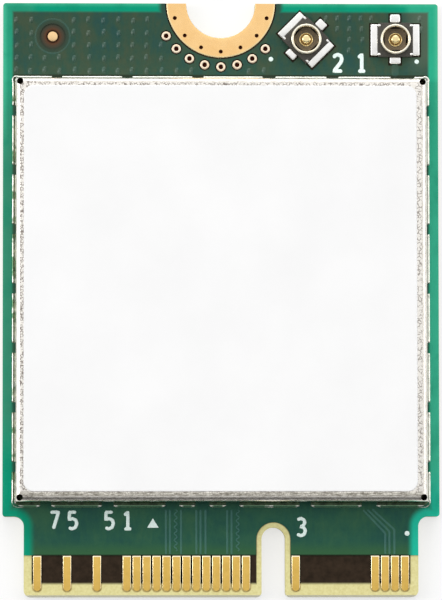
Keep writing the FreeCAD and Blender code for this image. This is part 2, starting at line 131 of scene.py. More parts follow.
# Shield can, its solder and its label; windows at the ends as (middle, width)
can_bend = 0.25
can_sheet = 0.15
can_edge_drop = 0.012
plate_inset = 0.44
relief_hole_radius, relief_hole_inset = 0.15, 0.2
corner_slit_width, corner_slit_length = 0.06, 0.5
window_height = 0.3
side_window_width, side_window_pitch = 0.5, 3.0
side_window_count = 7
side_window_shift = 0.105
screw_end_windows = [(-8.27, 0.52), (-4.72, 0.52), (-1.15, 0.56), (2.44, 0.64), (5.65, 0.6), (9.2, 1.2)]
contact_end_windows = [(-8.83, 0.56), (-5.71, 0.6), (-2.45, 0.7), (-0.95, 0.7), (0.58, 0.68),
                       (4.22, 0.56), (7.46, 0.76)]
bead_width = can_low[0] - bead_low[0]
bead_height = bead_high[2] - can_foot
bead_inner = 0.23
bead_corner = 0.3
bead_ridge_half, bead_ridge_height = 0.05, 0.04
bead_left_finer, bead_right_wider, bead_front_finer = 0.02, 0.01, 0.03
bead_right_out, bead_front_out, bead_corner_out = 0.025, 0.085, 0.07
bead_climb_width = 0.06
bead_draw = 0.1
bead_swell, bead_swell_reach = 0.4, 0.16
bead_curl, bead_curl_reach = 0.09, 0.3
flux_reach = 0.085
label_corner = 0.5
label_roll = 0.03
label_ring = 0.08

# Antenna jacks. Edges of the snap ring are (way in, height over the floor) or (way in, drop from the top),
# edges of the ears (way in, height over the floor), and steps of the plug (radius, depth below the floor).
jack_low = lacquer_top
jack_floor = jack_low + 0.22
jack_top = jack_low + 0.6
pin_top = jack_low + 0.5
plate_top = jack_low + 0.1
plate_corner, plate_soft = 0.02, 0.01
joint_top = plate_top + 0.05
joint_edge = 0.05
joint_roll = 0.05
wing_joint_corner, tab_joint_corner, tail_joint_corner = 0.05, 0.09, 0.07
ring_outer, ring_inner = 0.76, 0.64
ring_undercut = [(0.05, 0.01), (0.03, 0.05), (0.0, 0.09)]
ring_rim_outside = [(0.0, 0.03), (0.006, 0.01), (0.02, 0.0)]
ring_rim_inside = [(0.03, 0.0), (0.015, 0.008), (0.0, 0.03)]
ring_neck = ring_outer - ring_undercut[0][0]
body_half = 0.87
body_radii = np.array([0.03, 0.03, 0.16, 0.16])
body_bevel, body_corner_bevel = 0.03, 0.02
body_bore = ring_neck + 0.01
pin_radius = 0.22
pin_dome_width, pin_dome_height = 0.1, 0.07
flange_radius, flange_depth = 0.34, 0.055
flange_rim, flange_rim_height, flange_rim_up = 0.022, 0.025, 0.02
dish_inset, dish_depth = 0.05, 0.03
wing_reach, wing_length = 0.32, 1.5
tab_width, tab_length = 0.42, 0.38
tail_width, tail_length = 0.56, 0.35
ear_width, ear_length, ear_corner = 0.16, 0.11, 0.03
ear_x, ear_y = body_half - 0.05, wing_length / 2 - 0.02
ear_edge = [(0.0, -hair), (0.01, 0.012), (0.03, 0.016)]
plug_reach = ring_inner - 0.012
plug_soft = 0.01
plug_steps = [(0.3, 0.06), (0.34, 0.02), (0.4, 0.02), (0.415, 0.0), (0.47, 0.0), (0.485, 0.018),
              (0.535, 0.018), (0.55, 0.0)]

# Relief of the lacquer: covered vias, traces and the edge of the copper pour
pour_inset = 0.44
pour_side_extra = 0.06
pour_ring_radius, pour_ring_half, pour_ring_height = 0.87, 0.05, 0.012
via_columns, via_rows = np.arange(29)[None], np.arange(5)[:, None]
via_pitch_x, via_pitch_y = 0.735, 0.64
via_first = (-10.33, 14.14)
via_last_x = 2.2
via_wander = 0.04
via_edge_gap, via_ring_gap, via_dot_gap = 0.15, 0.2, 0.95
via_half_length = 0.17
via_left, via_right = 0.125, 0.085
via_dome_height = 0.06
jack_vias = [(5.35, 14.25), (5.92, 14.25), (6.53, 14.25), (7.1, 14.25), (7.64, 14.25), (5.92, 13.71),
             (6.53, 13.71), (7.15, 13.71), (6.53, 13.17), (7.2, 13.17), (6.5, 12.62), (10.1, 14.25),
             (10.16, 13.7)]
trace_height = 0.016
trace_width = 0.11
trace_start, trace_end = -10.6, -12.86
bent_traces = [[(7.15, -10.62), (8.26, -11.8), (8.26, trace_end)],
               [(7.36, -10.6), (8.47, -11.7), (8.47, trace_end)],
               [(7.61, -10.58), (8.72, -11.62), (8.72, trace_end)]]
straight_traces = [-2.78, -2.58, -2.02, -1.25, -1.04, -0.79, 0.3, 0.52]
winding_traces = [-2.29, 0.83]
winding_end, winding_width, winding_swing, winding_bends = -12.7, 0.07, 0.07, 13
feed_width = 0.35
feed_start, feed_end = 12.0, 11.3

# Markings: glyphs as lines in a height of one, text with its place, height, step and line width, and dots
# with their place and radius
ink_height = 0.016
glyph_width = 0.9
glyphs = {
    "1": [[(0.08, 0.8), (0.32, 1.0), (0.32, 0.0)], [(0.08, 0.0), (0.56, 0.0)]],
    "2": [[(0.04, 0.78), (0.1, 0.93), (0.3, 1.0), (0.5, 0.93), (0.58, 0.74), (0.5, 0.52), (0.04, 0.0),
           (0.6, 0.0)]],
    "3": [[(0.06, 0.9), (0.28, 1.0), (0.5, 0.9), (0.54, 0.72), (0.42, 0.56), (0.24, 0.53), (0.46, 0.48),
           (0.58, 0.3), (0.5, 0.08), (0.28, 0.0), (0.04, 0.1)]],
    "5": [[(0.54, 1.0), (0.1, 1.0), (0.07, 0.56), (0.3, 0.62), (0.52, 0.52), (0.58, 0.3), (0.48, 0.08),
           (0.26, 0.0), (0.04, 0.08)]],
    "7": [[(0.04, 1.0), (0.58, 1.0), (0.24, 0.0)]],
}
markings = [("2", 5.7, 11.58, 0.84, 0.62, 0.19), ("1", 6.9, 11.58, 0.84, 0.62, 0.19),
            ("3", 3.78, -11.92, 0.88, 0.62, 0.17), ("75", -8.62, -11.57, 0.84, 0.92, 0.17),
            ("51", -5.86, -11.57, 0.84, 0.92, 0.17)]
ink_dots = [(2.54, 12.18, 0.12), (9.93, 12.07, 0.12), (9.36, -11.8, 0.13)]
pointer = np.array([(-3.73, -11.51), (-3.15, -11.51), (-3.44, -11.04)])

# Studio: fades of the sky as (position, level), lamps with place, width, length and watts, and the view
floor_half = 1500.0
floor_glow = 0.66
fade_along = [(0.0, 0.12), (0.32, 0.18), (0.42, 0.5), (0.49, 0.95), (0.65, 1.02), (1.0, 1.15)]
fade_across = [(0.0, 0.6), (0.15, 0.95), (0.3, 1.02), (0.7, 1.02), (0.85, 0.9), (1.0, 0.5)]
lamps = {"left_lamp": ((-440.0, 40.0, 300.0), 160.0, 420.0, 0.9),
         "screw_end_lamp": ((0.0, 440.0, 300.0), 420.0, 160.0, 0.66),
         "right_lamp": ((440.0, 60.0, 300.0), 160.0, 420.0, 0.3)}
view_distance = 260.0
view_tilt, view_yaw, view_roll = math.radians(3.73), math.radians(-1.84), math.radians(-0.06)
view_target = Vector((-0.001, -0.035, 0.81))
view_lens, view_sensor = 309.3, 36.0


# Shapes

corner_signs = np.array([(-1, -1), (1, -1), (1, 1), (-1, 1)])


def grid_faces(copies, rows, columns, around, capped, start):
    """Faces of equal grids of points that follow one another: quads between neighbours, the last column
    joined to the first where a grid goes around, and the first and last row closed where it is capped."""
    row, column = np.indices((rows - 1, columns if around else columns - 1))
    following = (column + 1) % columns
    quads = np.stack([row * columns + column, row * columns + following,
                      (row + 1) * columns + following, (row + 1) * columns + column], -1).reshape(-1, 4)
    offsets = start + np.arange(copies)[:, None, None] * rows * columns
    faces = (quads + offsets).reshape(-1, 4).tolist()
    if capped:
        ends = np.stack([np.arange(columns)[::-1], np.arange(columns) + (rows - 1) * columns])
        faces += (ends + offsets).reshape(-1, columns).tolist()
    return faces


def mesh_of(name, surfaces, scale):
    """Mesh of several surfaces, each (points, goes around, capped), with seams merged and faces outwards."""
    vertices, faces, count = [], [], 0
    for points, around, capped in surfaces:
        rows, columns = points.shape[-3:-1]
        flat = points.reshape(-1, 3)
        faces += grid_faces(len(flat) // (rows * columns), rows, columns, around, capped, count)
        vertices.append(flat)
        count += len(flat)
    mesh = bpy.data.meshes.new(name)
    mesh.from_pydata((np.concatenate(vertices) * scale).tolist(), [], faces)
    work = bmesh.new()
    work.from_mesh(mesh)
    bmesh.ops.remove_doubles(work, verts=work.verts, dist=1e-4 * scale)
    bmesh.ops.recalc_face_normals(work, faces=work.faces)
    work.to_mesh(mesh)
    work.free()
    return mesh


def placed(name, data):
    """Object of a mesh, a lamp or a camera in the scene."""
    made = bpy.data.objects.new(name, data)
    scene.collection.objects.link(made)
    return made


def set_piece(name, mesh, finish, stands_for=(), crease=35.0):
    """Mesh in metres set on the card in place of its solids, shaded soft below the crease angle."""
    mesh.shade_smooth()
    mesh.set_sharp_from_angle(angle=math.radians(crease))
    mesh.materials.clear()
    mesh.materials.append(finish)
    made = placed(name, mesh)
    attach(made, "root")
    if stands_for:
        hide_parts(*stands_for)


def piece(name, surfaces, finish, stands_for=(), crease=35.0):
    """Piece made of surfaces given in millimetres."""
    set_piece(name, mesh_of(name, surfaces, millimetre), finish, stands_for, crease)


def rounded_outline(width, length, radii, corner_points):
    """Outline of a rectangle about the origin, anticlockwise from its lower left corner: each corner is a
    quarter circle of its own radius, centre plus radius times (cosine, sine) of a turn of 90 degrees."""
    radii = np.broadcast_to(np.asarray(radii, float), (4,))[:, None]
    centres = corner_signs * (np.array([width, length]) / 2 - radii)
    turns = np.radians([180, 270, 0, 90])[:, None] + np.linspace(0, math.pi / 2, corner_points)
    arcs = centres[:, None] + radii[:, :, None] * np.stack([np.cos(turns), np.sin(turns)], -1)
    return arcs.reshape(-1, 2)


def at_places(flat, places, turn=0.0):
    """Plan points turned about the origin and copied to each place: a leading axis of copies."""
    cosine, sine = math.cos(turn), math.sin(turn)
    turned_points = flat @ np.array([[cosine, sine], [-sine, cosine]])
    places = np.asarray(places, float).reshape((-1,) + (1,) * (flat.ndim - 1) + (2,))
    return turned_points[None] + places


def raised(plan, levels):
    """Plan points with their levels, which spread over the points that share them."""
    return np.concatenate([plan, np.broadcast_to(levels, plan.shape[:-1])[..., None]], -1)


def pad(places, width, length, radii, section, turn=0.0, corner_points=6):
    """Rounded rectangle at each place: one ring for each (inset, level) of the section, the outline moved in
    by the inset at that level, flat over the first and the last ring."""
    insets, levels = np.array(section).T
    rings = [rounded_outline(width - 2 * inset, length - 2 * inset,
                             np.maximum(np.subtract(radii, inset), 0.0), corner_points) for inset in insets]
    return raised(at_places(np.stack(rings), places, turn), levels[:, None]), True, True


def turned(places, section, sides):
    """Turned form about an upright axis at each place: (radius, level) of a section carried round it."""
    section = np.asarray(section, float)
    angles = np.linspace(0, 2 * math.pi, sides, endpoint=False)
    circle = np.stack([np.cos(angles), np.sin(angles)], -1)
    return raised(at_places(section[:, None, :1] * circle, places), section[:, 1:]), True, False


def arc(across, up, width, height, turn, count):
    """Section points (across + width times cosine, up + height times sine) from 0 to the turn."""
    angles = np.linspace(0, turn, count)
    return list(zip(across + width * np.cos(angles), up + height * np.sin(angles)))


def rolled(inset, top, radius, count):
    """Quarter circle of a section that starts upright at the inset and ends flat at the top."""
    return arc(inset + radius, top - radius, -radius, radius, math.pi / 2, count)


def reach_along(points):
    """Way along a line of straight runs to each of its points."""
    return np.concatenate([[0], np.cumsum(np.linalg.norm(np.diff(points, axis=0), axis=1))])


def close_at_ends(count):
    """Shares from 0 to 1, close together at both ends, by half a cosine."""
    return (1 - np.cos(np.linspace(0, math.pi, count))) / 2


def points_at(at, reach, points):
    """Values at ways along a line, between the points that it reaches."""
    return np.stack([np.interp(at, reach, part) for part in points.T], -1)


def left_of(path):
    """Unit vectors to the left of a path."""
    ahead = np.gradient(path, axis=0)
    ahead /= np.linalg.norm(ahead, axis=1, keepdims=True) + 1e-12
    return np.stack([-ahead[:, 1], ahead[:, 0]], -1)


def stroke(points, width, height, count, flat):
    """Raised line on the lacquer along straight runs: across it a hump, height times the root of 1 less the
    way from its middle to the power of flat, and both ends drawn in as half circles; its underside lies a
    little in the lacquer."""
    points = np.asarray(points, float)
    reach = reach_along(points)
    at = reach[-1] * close_at_ends(count)
    path = points_at(at, reach, points)
    half = width / 2
    from_end = np.clip(np.minimum(at, at[-1] - at) / half, 0, 1)
    narrow = np.sqrt(1 - (1 - from_end) ** 2)[:, None]
    across = np.linspace(-1, 1, 9)
    hump = np.sqrt(np.clip(1 - np.abs(across) ** flat, 0, 1))
    plan = path[:, None] + left_of(path)[:, None] * (half * narrow * across)[..., None]
    upper = raised(plan, lacquer_top + height * hump * narrow)
    lower = raised(plan, lacquer_top - hair)[:, ::-1]
    return np.concatenate([upper, lower], 1), True, True


# Finishes


def joining(operation):
    """Operator that joins a field with a field or a number by a new node."""
    return lambda field, *others: field.pattern.maths(operation, field, *others)


class Field:
    """A value that changes over a surface, the output of a node; operators join fields and numbers."""

    __array_ufunc__ = None
    __add__, __sub__, __mul__ = joining("ADD"), joining("SUBTRACT"), joining("MULTIPLY")
    __truediv__, __abs__ = joining("DIVIDE"), joining("ABSOLUTE")

    def __init__(self, pattern, socket):
        self.pattern = pattern
        self.socket = socket

    def __rsub__(self, other):
        return self.pattern.maths("SUBTRACT", other, self)


def seen(colour):
    """Linear colour of a screen colour in steps of 0 to 255, or of a grey level; a field stays as it is."""
    if isinstance(colour, Field):
        return colour
    if isinstance(colour, float):
        return (colour, colour, colour, 1.0)
    share = np.array(colour) / 255
    linear = np.where(share <= 0.04045, share / 12.92, ((share + 0.055) / 1.055) ** 2.4)
    return (*linear, 1.0)


class Pattern:
    """Nodes of a material or of the sky, added one by one."""

    def __init__(self, tree):
        self.tree = tree

    def node(self, kind, inputs, output=0, **settings):
        """Output of a new node with its settings and its inputs, each a field or a plain value."""
        node = self.tree.nodes.new("ShaderNode" + kind)
        for name, setting in settings.items():
            setattr(node, name, setting)
        for socket, value in inputs.items():
            if isinstance(value, Field):
                self.tree.links.new(value.socket, node.inputs[socket])
            else:
                node.inputs[socket].default_value = value
        return Field(self, node.outputs[output])

    def maths(self, operation, first, second=0.0):
        """One or two values joined by an operation."""
        return self.node("Math", {0: first, 1: second}, operation=operation)

    def least(self, first, *others):
        """Least of several values."""
        for other in others:
            first = self.maths("MINIMUM", first, other)
        return first

    def most(self, first, *others):
        """Greatest of several values."""
        for other in others:
            first = self.maths("MAXIMUM", first, other)
        return first

    def length(self, first, second):
        """Length of the vector of two coordinates."""
        return self.maths("SQRT", first * first + second * second)

    def stretched(self, vector, shares):
        """Vector with each part multiplied by its own share."""
        return self.node("VectorMath", {0: vector, 1: shares}, operation="MULTIPLY")

    def parts(self, vector):
        """X, Y and Z of a vector."""
        split = self.node("SeparateXYZ", {0: vector}).socket.node
        return [Field(self, socket) for socket in split.outputs]

    def ramp(self, value, *stops):
        """Colour of a value between stops (position, colour)."""
        made = self.node("ValToRGB", {0: value})
        elements = made.socket.node.color_ramp.elements
        while len(elements) < len(stops):
            elements.new(0.5)
        for element, (position, colour) in zip(elements, stops):
            element.position = position
            element.color = seen(colour)
        return made

    def mix(self, share, first, second):
        """Mix of two colours."""
        return self.node("Mix", {0: share, 6: seen(first), 7: seen(second)}, 2, data_type="RGBA")

    def coats(self, colour, *coats):
        """Colour with coats (share, colour) laid over it in turn."""
        for share, coat in coats:
            colour = self.mix(share, colour, coat)
        return colour

    def between(self, share, first, second):
        """Mix of two numbers."""
        return self.node("Mix", {0: share, 2: first, 3: second})

    def rise(self, value, low, high):
        """Smooth rise from 0 at one value to 1 at another."""
        inputs = {"Value": value, "From Min": low, "From Max": high}
        return self.node("MapRange", inputs, interpolation_type="SMOOTHSTEP")

    def spread(self, value, low, high):
        """Number between two ends for a cloudy value about one half."""
        inputs = {"Value": value, "From Min": 0.3, "From Max": 0.7, "To Min": low, "To Max": high}
        return self.node("MapRange", inputs)


class Finish(Pattern):
    """A material under construction: its surface shader and the patterns that feed it, all read from the
    place on the card in millimetres."""

    def __init__(self, name, **values):
        self.material = bpy.data.materials.new(name)
        self.material.use_nodes = True
        super().__init__(self.material.node_tree)
        self.shader = self.tree.nodes["Principled BSDF"].inputs
        for socket, value in values.items():
            self.shader[socket.replace("_", " ")].default_value = value
        self.place = self.stretched(self.node("TexCoord", {}, "Object"), (1 / millimetre,) * 3)
        self.x, self.y, self.z = self.parts(self.place)

    def feed(self, **fields):
        """Fields that feed sockets of the surface shader."""
        for socket, field in fields.items():
            self.tree.links.new(field.socket, self.shader[socket.replace("_", " ")])

    def noise(self, size, detail=3.0, stretch=(1, 1, 1), roughness=0.5):
        """Cloudy pattern with patches of about one size, drawn out along the axes by the stretch."""
        place = self.stretched(self.place, tuple(1 / (size * share) for share in stretch))
        inputs = {"Vector": place, "Scale": 1.0, "Detail": detail, "Roughness": roughness}
        return self.node("TexNoise", inputs)

    def cell_edges(self, size):
        """Distance from the borders of a net of cells of about one size, as a share of it."""
        inputs = {"Vector": self.stretched(self.place, (1 / size,) * 3), "Scale": 1.0}
        return self.node("TexVoronoi", inputs, "Distance", feature="DISTANCE_TO_EDGE")

    def feed_all(self, colour, rough, height, depth, strength):
        """Colour, roughness and a fine unevenness of a depth in millimetres; gives the finished material."""
        bump = self.node("Bump", {"Strength": strength, "Distance": depth * millimetre, "Height": height})
        self.feed(Base_Color=colour, Roughness=rough, Normal=bump)
        return self.material


def edge_distance(finish, side_extra):
    """Distance from the card's outline: the least of the ways to the sides, the screw end and the shoulders,
    where a shoulder is a circle about a point outside the card; the sides count as nearer by the extra."""
    across = abs(finish.x)
    to_shoulder_x = finish.most(half_tongue + shoulder_radius - across, 0.0)
    to_shoulder_y = finish.most(finish.y - (shoulder_y - shoulder_radius), 0.0)
    shoulder = finish.length(to_shoulder_x, to_shoulder_y) - shoulder_radius
    return finish.least(half_card - side_extra - across, screw_end - finish.y, shoulder)


def notch_distance(finish):
    """Distance from the middle of the screw notch."""
    return finish.length(finish.x, finish.y - screw_end)


def dot_distance(finish):
    """Distance from the middle of the alignment dot."""
    return finish.length(finish.x - fiducial[0], finish.y - fiducial[1])


def ways_out(finish, inset):
    """Ways along X and along Y beyond the can's outline moved in by the inset, less than 0 inside it."""
    axes = zip((finish.x, finish.y), can_middle, can_size / 2 - inset)
    return [abs(place - middle) - reach for place, middle, reach in axes]


def lacquer_finish(name, lift, gloss):
    """Green lacquer: dark over the copper pour, in soft streaks, brown round the alignment dot, greener
    towards the contacts, paler in the corner of the first jack, with a painted shadow line beyond the
    shield, and bright along the edge of the board that has no copper; lift lightens the dark part."""
    finish = Finish(name, Specular_IOR_Level=gloss)
    rise, between, mix = finish.rise, finish.between, finish.mix
    x, y, across = finish.x, finish.y, abs(finish.x)
    from_edge = edge_distance(finish, pour_side_extra)
    contact_corner = rise(y, -9.6, -10.6)
    poured_from = between(contact_corner, pour_inset - 0.1, pour_inset - 0.24)
    poured_to = between(contact_corner, pour_inset + 0.07, pour_inset + 0.16)
    near_notch = rise(notch_distance(finish), land_radius + 0.5, land_radius + 0.2)
    over_copper = finish.most(rise(from_edge, poured_from, poured_to), near_notch)
    tone = finish.noise(1.3) * 0.62 + finish.noise(0.24, 3.0, (1, 2.4, 1)) * 0.38
    screw_strip = finish.ramp(tone, (0.36, (44, 80, 73)), (0.48, (53, 82, 67)), (0.62, (66, 83, 64)))
    contact_strip = finish.ramp(tone, (0.36, (38, 84, 73)), (0.5, (45, 92, 73)), (0.64, (54, 98, 73)))
    to_contacts, beside_contacts = rise(y, -12.1, -12.8), rise(y, -12.84, -12.87)
    round_dot = rise(dot_distance(finish), 0.95, 0.62)
    jack_corner = rise(x, 8.9, 10.1) * rise(y, 11.0, 12.6)
    beyond = y - can_high[1]
    # Painted shadow: a dark line on the lacquer just outside the solder on the shield's screw-end side.
    painted_shadow_line = rise(beyond, 0.29, 0.26) * rise(beyond, 0.0, 0.05) * rise(across, 10.55, 10.5)
    poured = finish.coats(contact_strip, (rise(y, -8.0, 8.0), screw_strip), (to_contacts, (54, 98, 65)),
                          (beside_contacts, (40, 62, 42)), (round_dot, (57, 69, 57)),
                          (jack_corner, (83, 102, 85)), (painted_shadow_line, (46, 58, 44)), (lift, (100, 146, 144)))
    to_screw_end = rise(y, 6.0, 12.0)
    left = finish.coats((56, 142, 113), (to_screw_end, (40, 156, 122)), (rise(y, -5.0, -9.0), (4, 152, 118)))
    right = finish.coats((62, 188, 152), (rise(y, 4.0, 12.0), (44, 174, 138)),
                         (rise(y, -8.0, -10.5), (34, 190, 160)))
    sides = mix(rise(x, -1.0, 1.0), left, right)
    rim = rise(from_edge, 0.24, -0.06) * between(to_screw_end, 0.1, 1.0)
    clouds = rise(finish.noise(1.4), 0.45, 0.7) * 0.4
    bare = finish.coats((4, 154, 120), (rise(across, 9.2, 9.7), sides), (rim, (70, 188, 150)),
                        (clouds, (12, 138, 106)))
    return finish.feed_all(mix(over_copper, bare, poured), finish.spread(finish.noise(0.35), 0.22, 0.36),
                           finish.noise(0.2, 2.0, (1, 2, 1)), 0.004, 0.6)


def laminate_finish():
    """Fibreglass: yellow along the edges, where light comes through, near white along the contact end as
    painted light on its dim cut end, brown over the inner copper and in a ring round the alignment dot, with
    the layers of cloth as faint lines on the cut edge."""
    finish = Finish("laminate", Specular_IOR_Level=0.06)
    rise, y = finish.rise, finish.y
    side_rim, end_rim, slot_rim, dot_clearing = 0.4, 0.68, 0.25, 0.75
    side = (half_tongue - abs(finish.x)) / side_rim
    end = (y - contact_end) / end_rim
    slot = finish.length(finish.x - key_slot_x, finish.most(y - key_slot_round_y, 0.0)) - key_slot_half
    beside_rims = rise(finish.least(side, end, slot / slot_rim), 0.86, 1.12)
    on_face = rise(abs(finish.z - laminate_middle), laminate_half - 0.02, laminate_half - 0.01)
    inner = finish.most(beside_rims, rise(y, shoulder_y - 0.2, shoulder_y)) * on_face
    weave = finish.noise(0.12, 2.0, (1, 1, 0.35))
    yellow = finish.ramp(weave, (0.3, (222, 213, 148)), (0.7, (236, 229, 168)))
    # Near white within a tenth of a millimetre of the contact end: painted light on the dim cut end.
    yellow = finish.mix(rise(y, contact_end + 0.105, contact_end + 0.095), yellow, (255, 252, 224))
    from_dot = dot_distance(finish)
    ring = finish.ramp(from_dot / dot_clearing, (0.38, (34, 14, 6)), (0.5, (93, 64, 46)),
                       (0.62, (80, 67, 53)), (0.74, (70, 68, 56)), (0.86, (58, 68, 56)))
    brown = finish.ramp(finish.noise(0.3), (0.3, (42, 33, 24)), (0.7, (58, 46, 35)))
    brown = finish.mix(rise(from_dot, 0.9, 0.8), brown, ring)
    colour = finish.mix(inner, yellow, brown)
    return finish.feed_all(colour, finish.spread(weave, 0.45, 0.65), weave, 0.006, 0.5)


def painted_shade_rim_finish():
    """Painted shade round the contacts, laid on as a thin sheet: almost black over the inner copper, a tan
    shade near the end of the board.
    """
    finish = Finish("contact_painted_shade", Specular_IOR_Level=0.02)
    grain = finish.noise(0.1, 2.0)
    dark = finish.ramp(grain, (0.3, (5, 4, 2)), (0.7, (14, 10, 6)))
    pale = finish.ramp(grain, (0.3, (190, 170, 106)), (0.7, (206, 188, 124)))
    inner = finish.rise(finish.y, contact_end + 0.62, contact_end + 0.74)
    finish.feed(Base_Color=finish.mix(inner, pale, dark), Roughness=finish.spread(grain, 0.5, 0.7))
    return finish.material


def metal_finish(name, low, high, rough, grain=0.12, depth=0.002, coats=None):
    """Metal in two close tones in soft patches, with a fine satin grain, and the coats (share, colour) that a
    function of the finish gives."""
    finish = Finish(name, Metallic=1.0)
    tone = finish.ramp(finish.noise(0.5), (0.3, low), (0.7, high))
    colour = finish.coats(tone, *coats(finish)) if coats else tone
    return finish.feed_all(colour, finish.spread(finish.noise(0.2, 2.0), rough - 0.06, rough + 0.06),
                           finish.noise(grain), depth, 0.6)


def land_edge_highlight(finish):
    """Painted highlight along the outer edge of the screw land."""
    return [(finish.rise(notch_distance(finish), land_radius - 0.1, land_radius - 0.03), (255, 232, 178))]


def slope_highlights(finish):
    """Painted highlight on the sloping edges of the contacts, which lie below the face on either side of the
    board.
    """
    depth = land_top - laminate_middle - abs(finish.z - laminate_middle)
    return [(finish.rise(depth, 0.001, 0.005), (255, 242, 206))]


def dish_shade(finish):
    """Painted shade in the dish in the foot of a jack's pin."""
    return [(finish.rise(finish.z, jack_floor - 0.005, jack_floor - 0.02), (132, 100, 58))]


def solder_flux_and_painted_shade(finish):
    """Solder of the shield, bright on the ridge and at the ends of the dashes: dull patches, greenish grey
    as a painted reflection of the lacquer, and olive flux residue, darkened as painted shade, in the hollow
    beside the wall, which is thick and green, and no metal, at the contact end, where its green is also
    painted shade and a painted reflection of the lacquer."""
    rise = finish.rise
    ways = ways_out(finish, 0.0)
    from_wall = finish.most(*ways)
    front = rise(finish.y, can_low[1] + 0.02, can_low[1] - 0.02)
    left = rise(finish.x, can_low[0] + 0.02, can_low[0] - 0.02)
    wide = finish.between(finish.most(front, left), flux_reach, flux_reach + 0.055) + front * 0.03
    clean_wall = left * rise(from_wall, 0.065, 0.04)
    hollow = rise(from_wall - wide, 0.01, -0.01) * (1.0 - clean_wall)
    thick = front * hollow
    patches = finish.noise(0.7, 2.0)
    # Dull patches at the contact end and on the -X side: dull solder, with a greenish grey that is painted
    # reflection and painted shade.
    front_dull_and_reflection = front * rise(ways[0], -0.2, -0.45) * rise(patches, 0.66, 0.58)
    left_dull_and_reflection = left * rise(ways[1], -0.5, -1.0) * rise(patches, 0.52, 0.42)
    from_window = finish.least(1.0, *(abs(finish.x - x) - width / 2 for x, width in contact_end_windows))
    dull = (front_dull_and_reflection + left_dull_and_reflection) * rise(from_window, 0.1, 0.24)
    grain = finish.noise(0.3)
    # Olive flux residue, darkened as painted shade in the hollow; green and thick at the contact end as
    # painted reflection of the lacquer and painted shade.
    olive_flux_and_shade = finish.ramp(grain, (0.35, (46, 54, 34)), (0.65, (104, 104, 78)))
    green_flux_shade_and_reflection = finish.ramp(grain, (0.35, (38, 62, 36)), (0.65, (82, 108, 74)))
    flux = finish.mix(thick, olive_flux_and_shade, green_flux_shade_and_reflection)
    finish.feed(Metallic=1.0 - thick)
    return [(dull, (112, 150, 118)), (hollow, flux)]


def sheet_metal_finish():
    """Rolled shield sheet: pale nickel with rolling marks along the nearest edge, a net of fine dark scuffs
    on the plate beside the label, coarser on the +X side, longer streaks towards the contacts, darker there
    as painted shade, and painted shade, almost black, in and round the corner holes."""
    finish = Finish("shield_sheet", Metallic=1.0)
    rise, between, noise = finish.rise, finish.between, finish.noise
    on_side = rise(abs(finish.x), 9.84, 9.92)
    marks = between(on_side, noise(0.06, 3.0, (4, 1, 1), 0.6), noise(0.06, 3.0, (1, 4, 1), 0.6))
    base = finish.ramp(marks, (0.3, (206, 200, 190)), (0.5, (236, 231, 222)), (0.66, (252, 249, 243)))
    front = rise(finish.y, can_low[1] + 0.6, can_low[1] + 0.4)
    left, right = rise(finish.x, -9.2, -9.6), rise(finish.x, 9.2, 9.6)
    # Towards the contacts the streaks are darker: rolling marks, and painted shade of that side of the plate.
    streaks = finish.ramp(noise(0.045, 3.0, (7, 1, 1), 0.6), (0.4, (150, 146, 134)), (0.5, (206, 202, 190)),
                          (0.6, (248, 244, 233)))
    plate = finish.mix(front, (250, 246, 239), streaks)
    net = between(right, finish.cell_edges(0.12), finish.cell_edges(0.18))
    scuffs = rise(net, between(right, 0.22, 0.16), 0.03) * rise(noise(0.2, 2.0), 0.36, 0.56)
    strength = between(front, between(right, 0.9, 0.75), 0.45)
    scuffed = finish.mix(scuffs * strength, plate, (112, 100, 92))
    near_label = rise(finish.z + left * 0.014, can_top - 0.016, can_top - 0.004)
    from_hole = finish.length(*ways_out(finish, relief_hole_inset))
    # Painted shade: almost black in and round the corner holes.
    hole_shade = rise(from_hole, relief_hole_radius + 0.02, relief_hole_radius + 0.008)
    colour = finish.coats(base, (near_label, scuffed), (hole_shade, (12, 11, 10)))
    return finish.feed_all(colour, finish.spread(marks, 0.22, 0.36), marks + noise(0.07, 2.0), 0.003, 0.7)


def label_finish():
    """Blank white label film with a faint tooth."""
    finish = Finish("label_film", Specular_IOR_Level=0.3)
    white = finish.ramp(finish.noise(3.0), (0.3, (250, 250, 250)), (0.7, (254, 254, 254)))
    rough = finish.spread(finish.noise(0.2), 0.5, 0.62)
    return finish.feed_all(white, rough, finish.noise(0.08, 2.0), 0.0015, 0.5)


def moulded_finish(name, low, high, rough, size=0.12, gloss=0.35):
    """Moulded or pressed body: a speckle of two tones and a dull grain."""
    finish = Finish(name, Specular_IOR_Level=gloss)
    speckle = finish.noise(size)
    return finish.feed_all(finish.ramp(speckle, (0.32, low), (0.68, high)),
                           finish.spread(speckle, rough - 0.08, rough + 0.08),
                           finish.noise(size * 0.6, 2.0), 0.004, 0.5)


lacquer = lacquer_finish("lacquer", 0.0, 0.06)
trace_lacquer = lacquer_finish("lacquer_over_trace", 0.3, 0.06)
faint_lacquer = lacquer_finish("lacquer_over_pour_edge", 0.12, 0.06)
dome_lacquer = lacquer_finish("lacquer_over_vias", 0.05, 0.3)
laminate = laminate_finish()
painted_shade_rims = painted_shade_rim_finish()
contact_gold = metal_finish("contact_gold", (214, 176, 88), (224, 186, 98), 0.18, 0.2, 0.0006, slope_highlights)
land_gold = metal_finish("land_gold", (250, 204, 138), (255, 212, 148), 0.26, 0.2, 0.001, land_edge_highlight)
dot_gold = metal_finish("dot_gold", (246, 206, 152), (252, 214, 162), 0.26)
ring_gold = metal_finish("ring_gold", (255, 230, 198), (255, 240, 216), 0.3)
jack_gold = metal_finish("jack_gold", (255, 246, 220), (255, 250, 234), 0.22)
pin_gold = metal_finish("pin_gold", (240, 218, 160), (252, 236, 186), 0.22, 0.12, 0.002, dish_shade)
solder_tin = metal_finish("solder", (244, 243, 240), (254, 253, 251), 0.3, 0.1, 0.003)
